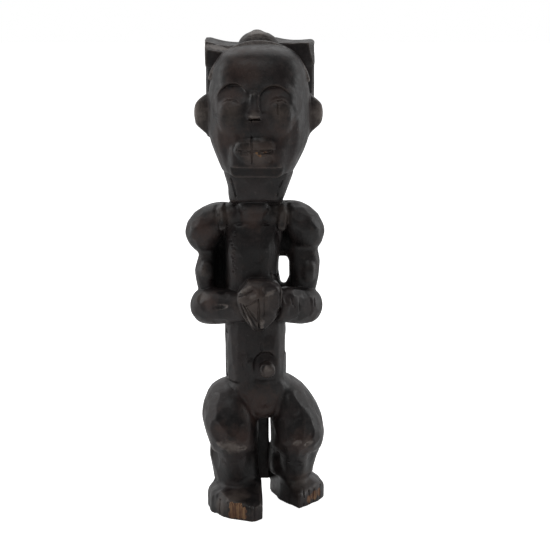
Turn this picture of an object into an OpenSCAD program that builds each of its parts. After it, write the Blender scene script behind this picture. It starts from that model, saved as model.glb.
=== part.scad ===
// Carved standing figure, built up from its carved masses.
// It faces -Y and stands on Z = 0. Left and right are the figure's own: its right side is at -X.
// All sizes below are for a figure 400 mm tall, and figure_h scales the whole of it.

/* [Figure] */
// Height from the soles to the top of the crest
figure_h = 400; // [250:5:600]
// Turn of the hips and navel away from the chest, in degrees
hip_turn = 12; // [0:1:15]
// Turn of the head towards the figure's right, in degrees
head_turn = 2.5; // [0:0.5:5]
// How far each foot points away from the way the hips face, in degrees
foot_splay = 14; // [6:1:18]

/* [Head] */
// Width of the headdress across its two wings
wing_w = 89; // [84:1:96]
// Depth of the scoop in the top of the wing at -X
wing_scoop = 3; // [2:1:8]
// Width of the crest that runs over the crown and down the nape
crest_w = 30; // [22:1:34]
// How far the crest stands above the wings
crest_rise = 8.5; // [5:0.5:12]
// How far each ear stands out from the head
ear_reach = 10; // [6:1:14]
// How far the jaw overhangs the beard
jaw_ledge = 7; // [4:1:9]

/* [Trunk] */
// Width of the trunk
trunk_w = 50; // [46:1:52]
// Diameter of the navel peg
navel_d = 10.4; // [7:0.2:12]
// How far the navel peg stands out of its niche
navel_reach = 10; // [6:1:14]
// Width of the arched niche round the navel
niche_w = 20; // [15:1:22]
// Depth of the niche
niche_depth = 4; // [2:0.5:6]

/* [Hands and feet] */
// Fingers on each hand
finger_count = 4; // [3:1:4]
// Toes on each foot
toe_count = 5; // [4:1:5]
// Width of the cut between two fingers
finger_cut = 1.2; // [0.8:0.1:1.6]
// Half the length of a toe
toe_reach = 9; // [7:1:10]

/* [Post] */
// Width of the post behind the legs
post_w = 13; // [10:1:15]
// Depth of the post, front to back
post_d = 12; // [10:1:14]
// Gap between the post's lower end and the ground
post_gap = 14; // [8:1:40]

/* [Hidden] */

REFERENCE_H = 400;
BIG = 400;                     // larger than the whole figure
RING_SIDES = 24;               // points round a trunk or head section
LIMB_SIDES = 20;               // points round a limb section
EASE_STEPS = 2;                // rings per gap between two stations
CENTRING = [-1.9, 3, 0];       // puts the origin under the middle of the figure

HEAD_X = 3.8;                  // the head sits a little to the figure's left
JAW_Z = 288;                   // underside of the jaw
NECK_TOP_Z = 263;
NECK_FOOT_Z = 243;
WAIST_Z = 182;                 // where chest and belly meet
HIP_Z = 112;                   // where belly and pelvis meet
ANKLE_Z = 23;
WING_TOP_Z = 391.5;
WING_TOP_TILT = 14;            // the wings' upper faces rise towards the back
WING_FRONT_Y = 5;
FLAT_SCOOP = 1;                // the wing at +X is scooped only this much
CREST_TOP_Z = WING_TOP_Z + crest_rise;
TRESS_RIGHT_X = -28;
TRESS_LEFT_X = 22.5;
HIP_X = 3;                     // the hips turn about this line
NAVEL_Z = 125.5;
HANDS_X = 3.5;                 // the two hands meet on this plane
POST_X = 4.8;
POST_Y = 31;
POST_ROOT_Z = 98;

DARK = [0.13, 0.10, 0.09];
BROWN = [0.17, 0.12, 0.10];
WORN = [0.26, 0.18, 0.13];

// ---------- shapes built from stations ----------
// A station is a level section: [z, left x, right x, front y, back y, y where it is widest, squareness].
// Squareness 2 is an ellipse, and more is squarer.

function eased_point(a, b, c, d, t) =
    0.5 * (2 * b + (c - a) * t + (2 * a - 5 * b + 4 * c - d) * t * t + (3 * b - a - 3 * c + d) * t * t * t);

function eased(stations, steps) = [
    for (i = [0 : len(stations) - 2], j = [0 : steps - 1])
        eased_point(
            stations[max(i - 1, 0)], stations[i], stations[i + 1],
            stations[min(i + 2, len(stations) - 1)], j / steps),
    stations[len(stations) - 1]
];

function squared(value, power) = sign(value) * pow(abs(value), 2 / power);

function ring(s, sides) = [
    for (i = [0 : sides - 1])
        let (
            across = squared(cos(360 * i / sides), s[6]),
            along = squared(sin(360 * i / sides), s[6]),
            reach = along < 0 ? s[5] - s[3] : s[4] - s[5]
        )
        [(s[1] + s[2]) / 2 + across * (s[2] - s[1]) / 2, s[5] + along * reach, s[0]]
];

module loft(stations, sides = LIMB_SIDES, steps = EASE_STEPS) {
    rings = [for (s = eased(stations, steps)) ring(s, sides)];
    last = (len(rings) - 1) * sides;
    polyhedron(
        points = [for (r = rings) each r],
        faces = [
            [for (i = [0 : sides - 1]) i],
            [for (i = [sides - 1 : -1 : 0]) last + i],
            for (j = [0 : len(rings) - 2], i = [0 : sides - 1])
                let (a = j * sides + i, b = j * sides + (i + 1) % sides)
                each [[a, a + sides, b + sides], [a, b + sides, b]]
        ]);
}

// An ellipsoid, or an egg that is fuller at squareness above 2
module egg(centre, size, power = 2) {
    levels = [-0.97, -0.8, -0.45, 0, 0.45, 0.8, 0.97];
    translate(centre)
        loft([
            for (u = levels)
                let (w = pow(1 - pow(abs(u), power), 1 / power))
                [u * size[2], -w * size[0], w * size[0], -w * size[1], w * size[1], 0, power]
        ]);
}

// Children stand with their Z axis running from p towards q
module along(p, q) {
    d = q - p;
    translate(p)
        rotate([0, acos(d[2] / norm(d)), atan2(d[1], d[0])])
            children();
}

module turned(x, angle) {
    translate([x, 0, 0])
        rotate([0, 0, angle])
            translate([-x, 0, 0])
                children();
}

module level(low, high) {
    intersection() {
        children();
        translate([-BIG / 2, -BIG / 2, low])
            cube([BIG, BIG, high - low]);
    }
}

// Brings a mass to its place and size in the finished figure
module placed() {
    scale(figure_h / REFERENCE_H)
        translate(CENTRING)
            children();
}

// ---------- head ----------

module skull() {
    turned(HEAD_X, -head_turn)
        loft([
            [JAW_Z,      -26.5, 31.5, -40, 20, 0, 3],
            [JAW_Z + 15, -33,   39.5, -42, 26, 2, 3],
            [319,        -38.5, 44.5, -41.5, 30, 5, 2.9],
            [337,        -39,   45,   -40, 32, 5, 2.8],
            [352,        -37.5, 43.5, -39, 32, 5, 2.6],
            [362,        -35,   41,   -36, 31, 4, 2.4],
            [371,        -30.5, 37.5, -31, 29, 3, 2.3],
            [379,        -24.5, 34,   -24, 26, 3, 2.2],
            [386,        -15,   27,   -15, 21, 3, 2.2],
            [390,        -5,    16,   -5,  12, 3, 2]
        ], RING_SIDES);
}

module eye_sockets() {
    for (side = [-1, 1])
        translate([HEAD_X - 1.5 + side * 18, -46, 348.5])
            rotate([0, side * 10, side * 8])
                egg([0, 0, 0], [16, 12, 9], 2.4);
}

module eyes() {
    for (side = [-1, 1])
        translate([HEAD_X - 1.5 + side * 18, -37, 345])
            rotate([0, 0, side * 10])
                egg([0, 0, 0], [9.5, 3.6, 4]);
}

module nose() {
    hull()
        for (p = [[0.8, -38, 351, 3], [0.4, -43, 339, 4], [-5.5, -40, 338.5, 3], [6.3, -40, 338.5, 3]])
            translate([p[0], p[1], p[2]])
                sphere(r = p[3], $fn = 16);
}

module lips() {
    egg([0.6, -39, 312.8], [16.5, 8, 4.4]);
    egg([1.2, -38.5, 304], [15, 8, 5]);
}

module head() {
    color(DARK)
        placed() {
            difference() {
                skull();
                eye_sockets();
            }
            eyes();
            nose();
            lips();
        }
}

module beard_mass() {
    loft([
        [257,        -15,   16,   -23, 4, -6, 3],
        [NECK_TOP_Z, -21.5, 22,   -27, 6, -6, 3.2],
        [273,        -22.3, 26,   -30, 8, -6, 3.2],
        [281,        -24.3, 29,   -32, 8, -6, 3.2],
        [JAW_Z,      -26.5, 31.5, jaw_ledge - 40, 8, -6, 3.2]
    ], RING_SIDES);
}

module beard() {
    color(DARK)
        placed()
            beard_mass();
}

module wing_scoops() {
    scoop_r = 60;
    for (wing = [[-18, wing_scoop], [30, FLAT_SCOOP]])
        translate([HEAD_X + wing[0], 20, WING_TOP_Z + scoop_r - wing[1]])
            rotate([-90 + WING_TOP_TILT, 0, 0])
                cylinder(r = scoop_r, h = BIG, center = true, $fn = 128);
}

// Grooves down the back that divide the coiffure into a crest and two side locks
module nape_grooves() {
    for (side = [-1, 1])
        hull()
            for (p = [[22, 37, WING_TOP_Z + 5], [23, 41, 345], [17, 34, 285]])
                translate([HEAD_X + side * p[0], p[1] + 5, p[2]])
                    sphere(r = 5, $fn = 16);
}

module headdress_mass() {
    half = wing_w / 2;
    difference() {
        loft([
            [NECK_TOP_Z, -19,               21,            6, 24,            14, 3],
            [280,        -24,               29,            6, 31,            16, 3.2],
            [300,        -32,               38,            6, 37,            17, 3.6],
            [320,        HEAD_X - half + 2, HEAD_X + half - 1, WING_FRONT_Y, 41, 17, 4.4],
            [345,        HEAD_X - half,     HEAD_X + half, WING_FRONT_Y, 41, 17, 5.5],
            [370,        HEAD_X - half,     HEAD_X + half, WING_FRONT_Y, 38, 17, 7],
            [WING_TOP_Z + 2, HEAD_X - half - 1, HEAD_X + half, WING_FRONT_Y, 31, 17, 9]
        ], RING_SIDES);
        wing_scoops();
        nape_grooves();
    }
}

module headdress() {
    color(DARK)
        placed()
            difference() {
                headdress_mass();
                skull();
                beard_mass();
            }
}

module crest_mass() {
    half = crest_w / 2;
    loft([
        [276,            HEAD_X - 7,        HEAD_X + 7,        22, 34, 26, 2.4],
        [300,            HEAD_X - half + 4, HEAD_X + half - 4, 22, 41, 28, 2.6],
        [330,            HEAD_X - half + 1, HEAD_X + half - 1, 22, 46, 30, 2.6],
        [360,            HEAD_X - half,     HEAD_X + half,     20, 46, 28, 2.6],
        [384,             HEAD_X - half * 1.06, HEAD_X + half * 1.03, 6,  42, 22, 2.6],
        [CREST_TOP_Z - 8, HEAD_X - half * 0.9,  HEAD_X + half * 0.84, 7,  38, 21, 2.4],
        [CREST_TOP_Z - 4, HEAD_X - half * 0.62, HEAD_X + half * 0.45, 9,  34, 20, 2.3],
        [CREST_TOP_Z,     HEAD_X - half * 0.4,  HEAD_X + half * 0.05, 13, 28, 20, 2.2]
    ]);
}

module crest() {
    color(DARK)
        placed()
            difference() {
                crest_mass();
                skull();
                headdress_mass();
            }
}

// An ear is a thick lobe with a hollow in its front outer face
module ear(side, root_x, low, high) {
    tip = root_x + side * ear_reach;
    middle = (low + high) / 2;
    tall = high - low;
    difference() {
        hull() {
            translate([root_x - side * 8, 6, middle])
                egg([0, 0, 0], [5, 9, tall * 0.56], 2.6);
            translate([tip - side * 4, 4, middle])
                egg([0, 0, 0], [4, 6, tall * 0.42], 2.6);
        }
        translate([tip + side * 1.5, 1, middle])
            rotate([0, 0, side * 20])
                egg([0, 0, 0], [4, 3.4, tall * 0.28]);
        skull();
        headdress_mass();
    }
}

module ear_right() {
    color(BROWN)
        placed()
            ear(-1, -39.7, 313.5, 345.5);
}

module ear_left() {
    color(BROWN)
        placed()
            ear(1, 43.8, 314, 343.5);
}

// ---------- neck, chest and belly ----------

// The neck is a broad core with a rounded throat standing forward of it
module neck_mass() {
    loft([
        [NECK_FOOT_Z, -21, 20, -12, 20, 2, 3],
        [252,         -21, 20, -11, 20, 2, 3],
        [NECK_TOP_Z,  -21, 20, -13, 22, 2, 3]
    ]);
    loft([
        [NECK_FOOT_Z, -9, 11, -19, 4, 0, 2.4],
        [252,         -8, 10, -18, 4, 0, 2.2],
        [NECK_TOP_Z,  -9, 11, -20, 4, 0, 2.2]
    ]);
}

module neck() {
    color(BROWN)
        placed()
            difference() {
                neck_mass();
                beard_mass();
                headdress_mass();
            }
}

module trunk() {
    half = trunk_w / 2;
    loft([
        [84,          -12,         18,        -16, 16, 0, 2.6],
        [100,         -half + 2,   half - 1,  -23, 21, 0, 2.6],
        [HIP_Z,       -half + 0.3, half + 0.5, -25, 22, 0, 2.6],
        [127,         -half,       half + 0.7, -27, 21, 0, 2.5],
        [150,         -half - 0.5, half + 0.5, -26, 20, 0, 2.5],
        [WAIST_Z,     -half,       half - 2,   -25, 20, 0, 2.5],
        [203,         -half,       half - 6,   -24, 21, 0, 2.6],
        [218,         -half,       half - 5,   -24, 22, 0, 2.7],
        [230,         -half,       half - 3,   -23, 23, 0, 2.8],
        [238,         -half - 1,   half - 2,   -21, 22, 0, 2.8],
        [NECK_FOOT_Z, -half,       half - 3,   -19, 21, 0, 2.8]
    ], RING_SIDES);
}

module tress_mass(side, x) {
    hull()
        for (p = [[0, -4, 259, 4], [0, -13, 252, 5], [side * -1, -18.5, 242, 4.5]])
            translate([x + p[0], p[1], p[2]])
                sphere(r = p[3], $fn = 18);
}

module tress(side, x) {
    difference() {
        tress_mass(side, x);
        beard_mass();
        headdress_mass();
        neck_mass();
        trunk();
    }
}

module tress_right() {
    color(BROWN)
        placed()
            tress(-1, TRESS_RIGHT_X);
}

module tress_left() {
    color(BROWN)
        placed()
            tress(1, TRESS_LEFT_X);
}

// Wood left uncut between an arm and the side
module arm_web(side, low, high) {
    difference() {
        translate([side < 0 ? -37 : 14, 3, low])
            cube([18, 10, high - low]);
        trunk();
        shoulder_mass(side);
        upper_arm_mass(side);
        forearm_mass(side);
    }
}

module armpit_right() {
    color(BROWN)
        placed()
            arm_web(-1, 178, 236);
}

module armpit_left() {
    color(BROWN)
        placed()
            arm_web(1, 214, 236);
}

module chest() {
    color(DARK)
        placed()
            level(WAIST_Z, NECK_FOOT_Z)
                trunk();
}

// The navel's place, with the hips' turn: Y points into the belly
module at_navel() {
    turned(HIP_X, hip_turn)
        translate([HIP_X + 0.5, -27, NAVEL_Z])
            children();
}

module niche() {
    at_navel()
        translate([-1, 0, 0])
            rotate([90, 0, 0])
                translate([0, 0, -niche_depth])
                    linear_extrude(BIG / 10) {
                        translate([0, 3])
                            circle(d = niche_w, $fn = 48);
                        translate([-niche_w / 2, -12])
                            square([niche_w, 15]);
                    }
}

module navel_peg(radius) {
    at_navel()
        rotate([90, 0, 0])
            translate([0, 0, -niche_depth - 8])
                cylinder(r = radius, h = niche_depth + 8 + navel_reach - niche_depth, $fn = 48);
}

module belly() {
    color(DARK)
        placed()
            difference() {
                level(HIP_Z, WAIST_Z)
                    trunk();
                niche();
                navel_peg(navel_d / 2);
            }
}

module navel() {
    color(WORN)
        placed()
            navel_peg(navel_d / 2);
}

// ---------- arms ----------

module shoulder_mass(side) {
    if (side < 0)
        loft([
            [219, -48.5, -36, -6,  6,  0, 2.2],
            [223, -53,   -32, -12, 12, 0, 2.2],
            [232, -58,   -26, -18, 18, 0, 2.2],
            [242, -57,   -22, -20, 20, 0, 2.2],
            [250, -51.5, -20, -18, 18, 0, 2.2],
            [256, -43.5, -18, -13, 14, 0, 2.2],
            [259, -33.5, -20, -6,  8,  0, 2]
        ], RING_SIDES);
    else
        loft([
            [222, 34,   51,   -7,  7,  0, 2.2],
            [226, 30,   54.5, -12, 12, 0, 2.2],
            [235, 25,   57.3, -18, 18, 0, 2.2],
            [243, 22,   55.8, -20, 20, 0, 2.2],
            [251, 20,   51.3, -18, 18, 0, 2.2],
            [257, 18,   43.5, -13, 14, 0, 2.2],
            [260.5, 19, 36,   -6,  8,  0, 2]
        ], RING_SIDES);
}

module shoulder(side) {
    difference() {
        shoulder_mass(side);
        trunk();
        neck_mass();
        beard_mass();
        headdress_mass();
        tress_mass(side, side < 0 ? TRESS_RIGHT_X : TRESS_LEFT_X);
    }
}

module shoulder_right() {
    color(DARK)
        placed()
            shoulder(-1);
}

module shoulder_left() {
    color(DARK)
        placed()
            shoulder(1);
}

module upper_arm_mass(side) {
    if (side < 0)
        loft([
            [180, -47,   -35,   -12, 6,  -2, 2.3],
            [190, -48.3, -34,   -12, 8,  -2, 2.3],
            [204, -50.6, -33.5, -11, 12, 0,  2.3],
            [215, -47,   -33,   -9,  11, 1,  2.3],
            [234, -47,   -32,   -9,  10, 1,  2.3]
        ]);
    else
        loft([
            [180, 30,   49,   -12, 6,  -2, 2.3],
            [190, 28.5, 50.8, -12, 8,  -2, 2.3],
            [209, 28,   53.9, -11, 12, 0,  2.3],
            [225, 28,   50.5, -9,  11, 1,  2.3],
            [238, 28,   50,   -9,  10, 1,  2.3]
        ]);
}

module forearm_mass(side) {
    elbow = side < 0 ? [-46.5, -2, 173] : [47.5, -2, 173.5];
    wrist = side < 0 ? [-7, -31, 177] : [17, -31, 177];
    wrist_rise = side < 0 ? 11 : 15;
    long = norm(wrist - elbow);
    along(elbow, wrist)
        loft([
            [-5,          -7,    7,    -6,  6,  0, 2],
            [-2,          -12,   12,   -10, 10, 0, 2],
            [6,           -15.3, 15,   -13, 13, 0, 2.2],
            [long * 0.4,  -15.3, 14.8, -13, 13, 0, 2.3],
            [long * 0.75, -wrist_rise - 2, 12.6, -11, 11, 0, 2.3],
            [long,        -wrist_rise, 11.5, -9,  9,  0, 2.3]
        ]);
}

module upper_arm(side) {
    difference() {
        upper_arm_mass(side);
        shoulder_mass(side);
        forearm_mass(side);
    }
}

module forearm(side) {
    difference() {
        forearm_mass(side);
        trunk();
    }
}

module upper_arm_right() {
    color(DARK)
        placed()
            upper_arm(-1);
}

module upper_arm_left() {
    color(DARK)
        placed()
            upper_arm(1);
}

module forearm_right() {
    color(BROWN)
        placed()
            forearm(-1);
}

module forearm_left() {
    color(BROWN)
        placed()
            forearm(1);
}

// The two hands lie together on the belly as one pointed mass, and an upright plane parts them
module hands_mass() {
    loft([
        [158, 1,   5,    -33, -15, -26, 2],
        [162, -5,  9.5,  -36, -12, -26, 2.2],
        [171, -12, 18,   -38, -12, -26, 2.5],
        [181, -15, 22.5, -39, -12, -26, 2.8],
        [190, -12, 20,   -39, -12, -26, 2.6],
        [196, -5,  14,   -36, -12, -26, 2.2],
        [199, 1,   8,    -31, -15, -26, 2]
    ], RING_SIDES);
}

module hand_mass(side) {
    intersection() {
        hands_mass();
        translate([side < 0 ? HANDS_X - BIG : HANDS_X, -BIG / 2, 0])
            cube(BIG);
    }
}

module finger_cuts(side) {
    pitch = 5.2;
    lean = 32;
    translate([HANDS_X, -40, 172])
        rotate([0, side * -lean, 0])
            for (i = [1 : finger_count - 1])
                translate([side * (i - 0.4) * pitch, 0, -10])
                    cube([finger_cut, 6, 30], center = true);
}

module hand(side) {
    difference() {
        hand_mass(side);
        trunk();
        forearm_mass(-1);
        forearm_mass(1);
        finger_cuts(side);
    }
}

module hand_right() {
    color(WORN)
        placed()
            hand(-1);
}

module hand_left() {
    color(WORN)
        placed()
            hand(1);
}

// ---------- hips and legs ----------

module pelvis_mass() {
    turned(HIP_X, hip_turn)
        loft([
            [79,    -8,  16, -14, 15, 2, 2.6],
            [83,    -12, 20, -19, 21, 3, 2.6],
            [88,    -16, 23, -22, 27, 3, 2.5],
            [95,    -22, 29, -24, 33, 5, 2.4],
            [103,   -25, 31, -25, 32, 5, 2.5],
            [HIP_Z, -22, 26, -25, 24, 2, 2.6]
        ], RING_SIDES);
}

module pelvis() {
    color(BROWN)
        placed()
            level(76, HIP_Z)
                pelvis_mass();
}

// Each leg stands a little forward or back of the other, as the hips are turned
module thigh_mass(side) {
    if (side < 0)
        loft([
            [53,  -37.5, 0.5,  -30, 12, -8, 2.4],
            [57,  -38.6, 1.6,  -35, 16, -8, 2.4],
            [66,  -41.8, 2.3,  -38, 22, -6, 2.4],
            [78,  -45,   2.3,  -36, 29, -3, 2.4],
            [88,  -44.3, 0.5,  -33, 32, 0,  2.3],
            [96,  -41.5, -2,   -28, 32, 2,  2.2],
            [102, -36.5, -5,   -21, 28, 3,  2.1],
            [107, -29,   -10,  -10, 18, 3,  2]
        ], RING_SIDES);
    else
        loft([
            [49,  14,   55,   -18, 26, 2, 2.4],
            [55,  13,   57,   -26, 28, 2, 2.4],
            [64,  12.6, 58.4, -29, 33, 3, 2.4],
            [76,  12.6, 56.3, -28, 38, 5, 2.4],
            [87,  12.4, 51.5, -25, 40, 7, 2.3],
            [96,  12.6, 45,   -21, 38, 8, 2.2],
            [104, 15,   36.5, -14, 32, 9, 2.1],
            [109, 20,   29,   -5,  22, 9, 2]
        ], RING_SIDES);
}

module thigh(side) {
    difference() {
        thigh_mass(side);
        pelvis_mass();
        trunk();
    }
}

module thigh_right() {
    color(DARK)
        placed()
            thigh(-1);
}

module thigh_left() {
    color(DARK)
        placed()
            thigh(1);
}

module calf_mass(side) {
    if (side < 0)
        loft([
            [ANKLE_Z, -35.6, 2.6, -21, 20, -2, 2.6],
            [32,      -36.2, 2.4, -22, 23, -1, 2.5],
            [43,      -38.7, 2.3, -23, 25, -1, 2.4],
            [54,      -38,   0,   -24, 22, -3, 2.4],
            [64,      -34,   -4,  -22, 16, -4, 2.2]
        ]);
    else
        loft([
            [ANKLE_Z, 12,   49.8, -1,  38, 17, 2.6],
            [32,      11.5, 50.8, -4,  41, 16, 2.5],
            [43,      12,   54.5, -7,  42, 15, 2.4],
            [52,      13,   55.5, -10, 38, 12, 2.4],
            [62,      17,   50,   -12, 30, 8,  2.2]
        ]);
}

module calf(side) {
    difference() {
        calf_mass(side);
        thigh_mass(side);
    }
}

module calf_right() {
    color(DARK)
        placed()
            calf(-1);
}

module calf_left() {
    color(DARK)
        placed()
            calf(1);
}

// A foot in its own frame: ankle over the origin, toes towards -Y, big toe towards inner * X
module foot_mass() {
    loft([
        [0,       -20,   20,   -28, 15, -6, 2.6],
        [4,       -23,   23,   -32, 20, -6, 2.7],
        [11,      -23.5, 23,   -31, 22, -5, 2.7],
        [17,      -21,   20.5, -24, 21, -3, 2.6],
        [ANKLE_Z, -18.5, 18.5, -18, 20, 0,  2.5]
    ], RING_SIDES);
}

// Toes in a row that slants back from the big toe to the little one
module toes(inner, tip) {
    row = 36.5;
    slant = 16;
    for (i = [0 : toe_count - 1])
        let (
            along_row = i / (toe_count - 1),
            half = row / (toe_count - 1) / 2 + (i == 0 ? 1.2 : 0.3),
            tall = 7.4 - 2 * along_row
        )
        translate([inner * (19 - along_row * row), along_row * slant - tip + toe_reach, tall])
            egg([0, 0, 0], [half, toe_reach, tall], 3.4);
}

module foot(inner, ankle, angle, tip) {
    translate([ankle[0], ankle[1], 0])
        rotate([0, 0, angle]) {
            foot_mass();
            toes(inner, tip);
        }
}

module foot_right() {
    color(BROWN)
        placed()
            foot(1, [-17.5, -3], hip_turn - foot_splay, 49);
}

module foot_left() {
    color(BROWN)
        placed()
            foot(-1, [32.5, 21], hip_turn + foot_splay, 41);
}

module post() {
    color(DARK)
        placed()
            difference() {
                translate([POST_X - post_w / 2, POST_Y - post_d / 2, post_gap])
                    cube([post_w, post_d, POST_ROOT_Z - post_gap]);
                pelvis_mass();
                thigh_mass(-1);
                thigh_mass(1);
            }
}

head();
beard();
headdress();
crest();
ear_right();
ear_left();
neck();
tress_right();
tress_left();
chest();
belly();
navel();
shoulder_right();
shoulder_left();
armpit_right();
armpit_left();
upper_arm_right();
upper_arm_left();
forearm_right();
forearm_left();
hand_right();
hand_left();
pelvis();
thigh_right();
thigh_left();
calf_right();
calf_left();
foot_right();
foot_left();
post();
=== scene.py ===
"""Looks for a carved standing figure.

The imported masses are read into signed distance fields, softened and joined, then carved with
flat knife cuts, grooves and chips. Every mass comes back as a piece of its own. Carving is done
in millimetres and the finished pieces are in metres. The figure faces -Y, and its right is -X.
"""

import math

import bpy
import numpy as np
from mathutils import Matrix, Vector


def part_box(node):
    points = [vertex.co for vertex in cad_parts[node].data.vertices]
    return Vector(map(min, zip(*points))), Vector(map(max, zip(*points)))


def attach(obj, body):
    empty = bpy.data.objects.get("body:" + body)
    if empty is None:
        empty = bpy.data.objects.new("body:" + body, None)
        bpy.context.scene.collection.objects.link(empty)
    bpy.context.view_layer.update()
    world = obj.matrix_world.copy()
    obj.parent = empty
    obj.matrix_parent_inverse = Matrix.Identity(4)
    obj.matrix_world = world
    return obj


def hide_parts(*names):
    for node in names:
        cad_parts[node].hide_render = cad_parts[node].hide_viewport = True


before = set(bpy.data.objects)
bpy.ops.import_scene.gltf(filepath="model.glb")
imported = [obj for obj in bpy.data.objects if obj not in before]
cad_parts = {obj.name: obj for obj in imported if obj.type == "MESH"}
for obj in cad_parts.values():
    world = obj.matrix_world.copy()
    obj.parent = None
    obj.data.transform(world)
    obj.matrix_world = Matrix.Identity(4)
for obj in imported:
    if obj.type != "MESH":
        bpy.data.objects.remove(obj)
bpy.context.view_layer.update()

import openvdb as vdb
from mathutils import Euler, Vector

# ---------- sizes of the carving grid ----------
MM = 0.001
VOXEL = 0.6  # spacing of the distance samples
BAND = 8.4  # distances further from a skin than this are cut off
ROOM = 7.0  # free space kept round every mass
BLUR_REACH = 2.4  # how many radii of a blur are summed to each side
TINY = 1e-4  # keeps divisions away from zero
SEED = 7  # for the scattered cuts
LATTICE = vdb.createLinearTransform(VOXEL)


# ---------- distance fields ----------


def corner_cells(names):
    """The lowest and highest lattice cells that hold these CAD nodes, with room round them."""
    boxes = [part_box(name) for name in names]
    low = np.min([b[0] for b in boxes], axis=0) / MM - ROOM
    high = np.max([b[1] for b in boxes], axis=0) / MM + ROOM
    return np.floor(low / VOXEL).astype(int), np.ceil(high / VOXEL).astype(int)


def node_distance(name, low, high):
    """Signed distance to one CAD node, sampled on the cells from low to high."""
    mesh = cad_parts[name].data
    mesh.calc_loop_triangles()
    points = np.empty(len(mesh.vertices) * 3, np.float32)
    mesh.vertices.foreach_get("co", points)
    corners = np.empty(len(mesh.loop_triangles) * 3, np.int32)
    mesh.loop_triangles.foreach_get("vertices", corners)
    grid = vdb.FloatGrid.createLevelSetFromPolygons(
        points.reshape(-1, 3) / MM, triangles=corners.reshape(-1, 3),
        transform=LATTICE, halfWidth=BAND / VOXEL)
    field = np.empty(tuple(high - low), np.float32)
    grid.copyToArray(field, ijk=tuple(int(n) for n in low))
    return field


def lattice_grid(field, low):
    """The samples as an OpenVDB grid."""
    grid = vdb.FloatGrid(BAND)
    grid.transform = LATTICE
    grid.copyFromArray(np.clip(field, -BAND, BAND), ijk=tuple(int(n) for n in low))
    return grid


def closed(field, low, gap):
    """Fills joins and creases narrower than twice the gap, and leaves other surfaces where they are."""
    points, quads = lattice_grid(field, low).convertToQuads(gap)
    grid = vdb.FloatGrid.createLevelSetFromPolygons(
        points, quads=quads, transform=LATTICE, halfWidth=BAND / VOXEL)
    grid.copyToArray(field, ijk=tuple(int(n) for n in low))
    return field + gap


def softened(field, radius):
    """A Gaussian blur with this radius in millimetres."""
    reach = max(1, math.ceil(BLUR_REACH * radius / VOXEL))
    weights = np.exp(-0.5 * (np.arange(-reach, reach + 1) * VOXEL / radius) ** 2)
    weights = (weights / weights.sum()).astype(np.float32)
    for axis in range(3):
        margin = [(reach, reach) if a == axis else (0, 0) for a in range(3)]
        wide = np.moveaxis(np.pad(field, margin, mode="edge"), axis, 0)
        count = field.shape[axis]
        total = sum(w * wide[k:k + count] for k, w in enumerate(weights))
        field = np.moveaxis(total, 0, axis)
    return np.ascontiguousarray(field)


def smooth_min(a, b, blend):
    """The nearer of two distances, rounded where they meet."""
    mix = np.clip(0.5 + 0.5 * (b - a) / blend, 0, 1)
    return b + (a - b) * mix - blend * mix * (1 - mix)


class Tool:
    """A shape to add or to cut away: where it is, how far it reaches, and its distance function."""

    def __init__(self, centre, reach, distance):
        self.centre, self.reach, self.distance = np.array(centre, float), reach, distance


def turned(p, centre, turn):
    """Coordinates of p in the frame of a tool turned by these degrees about X, Y and Z."""
    away = [p[a] - centre[a] for a in range(3)]
    if not any(turn):
        return away
    axes = np.array(Euler([math.radians(t) for t in turn]).to_matrix(), np.float32)
    return [sum(axes[b][a] * away[b] for b in range(3)) for a in range(3)]


SQUARE_REACH = 1.3  # how much further an egg may reach when its power isn't 2


def egg(centre, size, turn=(0, 0, 0), power=2):
    """A lump with these half sizes. A power above 2 makes it squarer, and one below 2 sharper."""
    def distance(*p):
        part = [np.abs(c / s) for c, s in zip(turned(p, centre, turn), size)]
        near = sum(t ** power for t in part) ** (1 / power)
        steep = np.sqrt(sum((t ** (power - 1) / s) ** 2 for t, s in zip(part, size)))
        return (near - 1) * near ** (power - 1) / np.maximum(steep, TINY)
    return Tool(centre, max(size) * (1 if power == 2 else SQUARE_REACH), distance)


def pad(centre, size, turn=(0, 0, 0)):
    """An oval disc with flat faces, which look along its own Y."""
    def distance(*p):
        x, y, z = turned(p, centre, turn)
        outline = (np.sqrt((x / size[0]) ** 2 + (z / size[2]) ** 2) - 1) * min(size[0], size[2])
        return np.maximum(outline, np.abs(y) - size[1])
    return Tool(centre, math.hypot(max(size[0], size[2]), size[1]), distance)


def faceted(centre, reach, planes):
    """What lies behind all of these planes, each a point and the way it faces."""
    def distance(*p):
        best = None
        for point, normal in planes:
            above = sum(n * (c - q) for n, c, q in zip(normal, p, point))
            best = above if best is None else np.maximum(best, above)
        return best
    return Tool(centre, reach, distance)


def block(centre, size, turn=(0, 0, 0), corner=0.5):
    """A box of these half sizes with rounded corners."""
    def distance(*p):
        local = turned(p, centre, turn)
        over = [np.abs(c) - (s - corner) for c, s in zip(local, size)]
        outside = np.sqrt(sum(np.maximum(o, 0) ** 2 for o in over))
        return outside + np.minimum(np.maximum(np.maximum(over[0], over[1]), over[2]), 0) - corner
    return Tool(centre, math.hypot(*size), distance)


def track(*stops):
    """A round bar through these stops, each (x, y, z, radius)."""
    stops = np.array(stops, float)
    centre = (stops[:, :3].min(0) + stops[:, :3].max(0)) / 2
    reach = max(np.linalg.norm(s[:3] - centre) + s[3] for s in stops)

    def distance(*p):
        best = None
        for a, b in zip(stops[:-1], stops[1:]):
            span = b[:3] - a[:3]
            along = sum((p[k] - a[k]) * span[k] for k in range(3)) / max(span @ span, TINY)
            along = np.clip(along, 0, 1)
            away = np.sqrt(sum((p[k] - a[k] - along * span[k]) ** 2 for k in range(3)))
            away = away - (a[3] + along * (b[3] - a[3]))
            best = away if best is None else np.minimum(best, away)
        return best
    return Tool(centre, reach, distance)


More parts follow.
